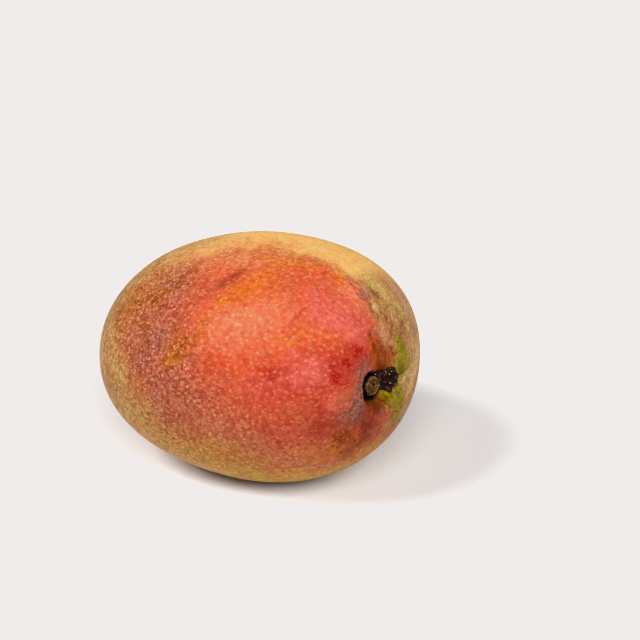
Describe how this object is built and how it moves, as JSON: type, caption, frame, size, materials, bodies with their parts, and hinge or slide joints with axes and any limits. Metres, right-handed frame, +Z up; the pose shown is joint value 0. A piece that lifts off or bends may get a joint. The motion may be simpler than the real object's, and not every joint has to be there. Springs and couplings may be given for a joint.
{
  "type": "mango",
  "caption": "Whole ripe mango lying on its flatter cheek, with a woody stem button and a crust of dried sap in its stem cavity.",
  "frame": {"origin": "under the middle of the fruit's box, on the flat spot that it rests on", "axes": "+X along the fruit's length towards the stem end, +Y across its width, +Z up through its thickness"},
  "size_m": [0.119, 0.104, 0.0803],
  "materials": {
    "skin": "satin waxy fruit skin, red over golden yellow, with pale lenticels",
    "stem": "dry pale brown stem wood",
    "sap": "dried blackish sap crust with pale specks"
  },
  "bodies": {
    "root": {"mango_fruit": "skin", "stem_button": "stem", "sap_crust": "sap"}
  },
  "joints": []
}
